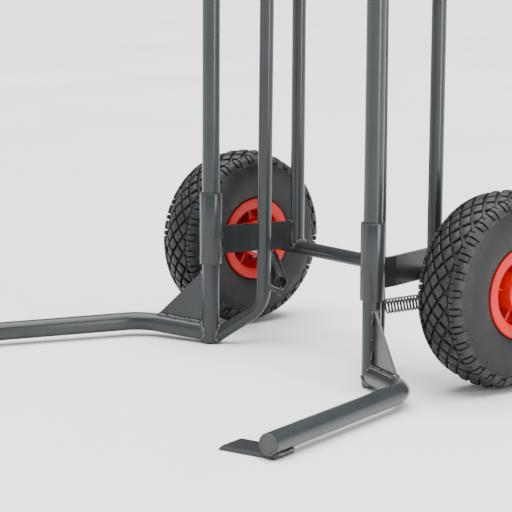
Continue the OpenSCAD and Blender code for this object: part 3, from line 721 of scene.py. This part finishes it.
slit_low = box_corners(-LUG_HALF, -SLIT_HALF, LUG_FROM, SLIT_TO)
slit_high = box_corners(SLIT_HALF, LUG_HALF, LUG_FROM, SLIT_TO)
long_lug = box_corners(-LUG_HALF, LUG_HALF, SLIT_TO - 0.2, LONG_TO)
short_lug = box_corners(-NARROW_HALF, NARROW_HALF, LUG_FROM, SHORT_TO)
tread_rows = [("row_0", diamond, 0.0, True)]
for across, tag in ((-1, "in"), (1, "out")):
    tread_rows += [
        ("row_1_" + tag, beside(diamond, ROW, across), HALF_PITCH, True),
        ("row_2_" + tag, beside(clipped, 2 * ROW, across), 0.0, True),
        ("lug_a_" + tag, beside(slit_low, 0, across), 0.0, False),
        ("lug_b_" + tag, beside(slit_high, 0, across), 0.0, False),
        ("lug_c_" + tag, beside(long_lug, 0, across), 0.0, False),
        ("lug_d_" + tag, beside(short_lug, 0, across), HALF_PITCH, False),
    ]

# Moulding nibs left on the sidewall, in two rings: how many, at what radius, from what angle.
NIBS = (("nibs_high", 16, 105.0, 0.1), ("nibs_low", 12, 97.0, 0.3))
NIB_OUTLINE = [(0, -1.2), (0.55, -1.2), (0.45, 0.7), (0, 0.9)]
wall_r, wall_u = np.array(wall + side_low).T
# How deep the carcass lies below the skin, by the distance from the crown's middle.
SINK_AT, SINK_BY = (0, 39, 44.5, 51, 60, 200), (GROOVE, GROOVE, 1.3, 1.0, 0, 0)


def air_side():
    """The carcass's inner face, from the bead to under the crown."""
    points = [(RIM_R + BEAD_T, AIR_HALF)]
    for a in range(-45, 91, 15):
        reach = WALL_R - RIM_R - BEAD_T if a < 0 else TYRE_R - CROWN_T - WALL_R
        c = max(math.cos(math.radians(a)), 0)
        points.append((WALL_R + reach * math.sin(math.radians(a)),
                       (TYRE_HALF - WALL_T) * c ** AIR_SQUARE))
    return points


def carcass_outline():
    """The tyre under its blocks, as one closed ring: outside, bead and air side."""
    half = [tuple(map(float, on_skin(d, np.interp(d, SINK_AT, SINK_BY))))
            for d in np.linspace(0, skin_s[-1], CASE_STEPS)]
    seat = BEAD_SEAT + SEAT_GAP
    half += [(RIM_R - 1, BEAD_HALF), (seat, BEAD_HALF), (seat, AIR_HALF)]
    air = air_side()
    return (half + air + [(r, -u) for r, u in reversed(air[:-1])]
            + [(r, -u) for r, u in reversed(half[1:])])


def set_round(piece, hub, count, start, name):
    """Copies of a rubber piece, evenly round the hub from the angle start."""
    values = {"Count": count, "Start": start, "Centre": hub, "Material": rubber}
    return through(piece, turn_tree, values, name)


for side, sign in SIDES:
    hub = Vector((sign * wheel_x, axle_at.y, axle_at.z))
    case = ring_mesh("case", [(r, sign * u) for r, u in carcass_outline()], CASE_SEGMENTS)
    pieces = [set_round(case, hub, 1, 0.0, side + "_tyre_case")]
    for label, corners, start, peak in tread_rows:
        one = block(label, [(t, sign * s) for t, s in corners], peak)
        pieces.append(set_round(one, hub, PITCHES, start, side + "_" + label))
    for label, count, r, start in NIBS:
        for end in (-1, 1):
            foot = end * float(np.interp(-r, -wall_r, wall_u))
            nib = lathed("nib", NIB_OUTLINE, Vector((foot, 0, r)) * MM, Vector((end, 0, 0)), 6)
            pieces.append(set_round(nib, hub, count, start, side + "_" + label))
    tyre = one_piece(pieces, side + "_tyre_tread", side + "_wheel")
    outwards(tyre)
    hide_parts(side + "_tyre")


# ---- Rims, hubs and small fittings ----
# Rims moulded in red plastic as two halves and bolted together. Bolts, bearings, washers, collars
# and axle caps are zinc plated steel. Bushes, top caps and valves are black nylon, and the inner
# tubes are butyl rubber.
rim_red = finish_of("rim_red", (0.46, 0.003, 0.002), (0.54, 0.005, 0.003), (0.32, 0.42),
                    30, 500, 0.12, shine=0.25)
zinc = finish_of("zinc_plate", (0.30, 0.30, 0.31), (0.42, 0.42, 0.42), (0.30, 0.45),
                 120, 900, 0.15, metallic=1.0, relief_depth=0.00004)
nylon = finish_of("black_nylon", (0.012, 0.012, 0.012), (0.022, 0.022, 0.022), (0.42, 0.55),
                  90, 900, 0.2)
plug_grey = finish_of("plug_plastic", (0.030, 0.031, 0.027), (0.046, 0.047, 0.041), (0.45, 0.60),
                      70, 800, 0.25)
tube_rubber = finish_of("butyl", (0.012, 0.012, 0.012), (0.020, 0.020, 0.020), (0.5, 0.6),
                        60, 600, 0.1)
finishes = {"rim": rim_red, "steel": zinc, "bush": nylon, "cap": nylon, "valve": nylon,
            "plug": plug_grey, "inner_tube": tube_rubber, "tyre": rubber,
            "spring": spring_steel, "grip": tube_rubber}
for node, part in frame["nodes"].items():
    if slot_of[node] == "frame":
        continue
    part.data.materials.clear()
    part.data.materials.append(finishes[slot_of[node]])
    if slot_of[node] == "rim":
        softened(part, 0.6 * MM, 45)


# ---- Fork plugs ----
# Grey plastic plugs, moulded with a raised rim and a shallow face inside it, and pushed into the
# open ends of the forks, which they fit tightly.
plug_low, plug_high = map(Vector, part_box("right_fork_plug"))
PLUG_R, PLUG_T, FORK_DROP, SHARP = 12.75 * MM, 1.6 * MM, -0.0056, math.radians(35)
PLUG_OUTLINE = [(0, -14), (11.1, -14), (11.2, -0.1), (12.75, 0), (12.75, 1.0), (12.3, 1.58),
                (11.3, 1.6), (10.8, 1.2), (10.6, 0.6), (9.8, 0.5), (0, 0.7)]
plug_way = (fork_way + UP * FORK_DROP).normalized()
plug_seat = Vector((
    plug_high.x - PLUG_T * plug_way.x - PLUG_R * math.sqrt(1 - plug_way.x ** 2),
    plug_low.y - PLUG_T * plug_way.y + PLUG_R * math.sqrt(1 - plug_way.y ** 2),
    plug_high.z - PLUG_R * math.sqrt(1 - plug_way.z ** 2),
))
for side, sign in SIDES:
    mirrored = Vector((sign, 1, 1))
    plug = lathed(side + "_end_plug", PLUG_OUTLINE, plug_seat * mirrored, plug_way * mirrored)
    plug.data.materials.append(plug_grey)
    plug.data.set_sharp_from_angle(angle=SHARP)
    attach(plug, side + "_arm")
    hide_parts(side + "_fork_plug")


# ---- Grips ----
# Black rubber, moulded with a closed end, finger ribs round it and a flange at its open end. Each
# is pushed onto a handle, which it fits tightly.
grip_rubber = finish_of("grip_rubber", (0.008, 0.008, 0.009), (0.016, 0.016, 0.017),
                        (0.55, 0.7), 80, 1100, 0.4, shine=0.3)
grip_low, grip_high = map(Vector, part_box("right_grip"))
RIBS, RIB_R, RIB_H, FLANGE_R, FLANGE_T, BORE_R, END_T = 16, 15.5, 1.1, 18.95, 5, 10.02, 4
PLAIN_BACK, PLAIN_BOTH, ROUNDED = 6, 16, 1.5
RIB_TO, HOLLOW_FROM, HOLLOW_TO = 0.5, 0.62, 0.88  # shares of one rib's step
grip_len = (grip_high.y - grip_low.y) / MM
step = (grip_len - PLAIN_BOTH) / RIBS
grip_outline = [(0, 0), (RIB_R - ROUNDED, 0), (RIB_R, ROUNDED)]
for i in range(RIBS):
    d = PLAIN_BACK + i * step
    grip_outline += [(RIB_R, d), (RIB_R, d + step * RIB_TO),
                     (RIB_R - RIB_H, d + step * HOLLOW_FROM),
                     (RIB_R - RIB_H, d + step * HOLLOW_TO)]
flange_from = grip_len - FLANGE_T
grip_outline += [(RIB_R, flange_from - 0.5), (FLANGE_R - 1, flange_from),
                 (FLANGE_R, flange_from + 1), (FLANGE_R, grip_len - 1), (FLANGE_R - 1, grip_len),
                 (BORE_R, grip_len), (BORE_R, END_T), (0, END_T)]
for side, sign in SIDES:
    end = Vector((sign * middle("right_grip").x, grip_high.y, middle("right_grip").z))
    grip = lathed(side + "_ribbed_grip", grip_outline, end, Vector((0, -1, 0)))
    grip.data.materials.append(grip_rubber)
    grip.data.set_sharp_from_angle(angle=SHARP)
    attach(grip, "frame")
    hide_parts(side + "_grip")


# ---- Floor, light and camera ----
# None of this is part of the truck. A plain pale floor lies under soft studio light, and the
# camera stands to the truck's right, in front of it.
FLOOR_HALF, FLOOR_Z = 30, -0.2 * MM
corners = ((-1, -1), (1, -1), (1, 1), (-1, 1))
floor = plain_object("floor", [(x * FLOOR_HALF, y * FLOOR_HALF, FLOOR_Z) for x, y in corners],
                     [(0, 1, 2, 3)])
floor.data.materials.append(finish_of("floor_paint", (0.86, 0.86, 0.86), (0.90, 0.90, 0.90),
                                      (0.5, 0.6), 2, 40, 0.02))


def softbox(name, at, look, size, power):
    light = bpy.data.lights.new(name, "AREA")
    light.shape = "RECTANGLE"
    light.size, light.size_y = size
    light.energy = power
    lamp = bpy.data.objects.new(name, light)
    bpy.context.scene.collection.objects.link(lamp)
    lamp.location = at
    lamp.rotation_mode = "QUATERNION"
    lamp.rotation_quaternion = (Vector(look) - Vector(at)).to_track_quat("-Z", "Y")


softbox("left_box", at=(-1.4, -3.0, 1.3), look=(0, 0, 0.4), size=(0.16, 2.6), power=16)
softbox("right_box", at=(3.45, 0.43, 1.25), look=(0, 0, 1.2), size=(0.3, 2.4), power=110)
overhead = bpy.data.lights.new("overhead", "SUN")
overhead.energy, overhead.angle = 8.5, math.radians(70)
lamp = bpy.data.objects.new("overhead", overhead)
bpy.context.scene.collection.objects.link(lamp)

# The sky is brighter near its horizon than above.
HORIZON, ABOVE, HORIZON_LIGHT, ABOVE_LIGHT = 0.08, 0.22, 1.7, 0.34
world = bpy.data.worlds.new("studio")
world.use_nodes = True
sky, sky_link = world.node_tree.nodes, world.node_tree.links
sky["Background"].inputs["Color"].default_value = (1, 1, 1, 1)
heading = sky.new("ShaderNodeTexCoord")
height = sky.new("ShaderNodeSeparateXYZ")
fade = sky.new("ShaderNodeMapRange")
fade.inputs["From Min"].default_value = HORIZON
fade.inputs["From Max"].default_value = ABOVE
fade.inputs["To Min"].default_value = HORIZON_LIGHT
fade.inputs["To Max"].default_value = ABOVE_LIGHT
sky_link.new(heading.outputs["Generated"], height.inputs["Vector"])
sky_link.new(height.outputs["Z"], fade.inputs["Value"])
sky_link.new(fade.outputs["Result"], sky["Background"].inputs["Strength"])
bpy.context.scene.world = world

CAM_AZIMUTH, CAM_PITCH, CAM_ROLL = map(math.radians, (51.08991, 9.76202, 0.32735))
CAM_AT, CAM_LENS = (2.07695, -1.74087, 0.61497), 141.94
cam_back = Vector((math.sin(CAM_AZIMUTH) * math.cos(CAM_PITCH),
                   -math.cos(CAM_AZIMUTH) * math.cos(CAM_PITCH), math.sin(CAM_PITCH)))
flat_right = Vector((math.cos(CAM_AZIMUTH), math.sin(CAM_AZIMUTH), 0))
true_up = cam_back.cross(flat_right)
cam_right = flat_right * math.cos(CAM_ROLL) + true_up * math.sin(CAM_ROLL)
cam_up = -flat_right * math.sin(CAM_ROLL) + true_up * math.cos(CAM_ROLL)
turn = Matrix((cam_right, cam_up, cam_back)).transposed()
lens = bpy.data.cameras.new("camera")
lens.lens, lens.sensor_width = CAM_LENS, 36.0
lens.clip_start, lens.clip_end = 0.05, 200
camera = bpy.data.objects.new("camera", lens)
bpy.context.scene.collection.objects.link(camera)
camera.matrix_world = Matrix.Translation(CAM_AT) @ turn.to_4x4()
bpy.context.scene.camera = camera
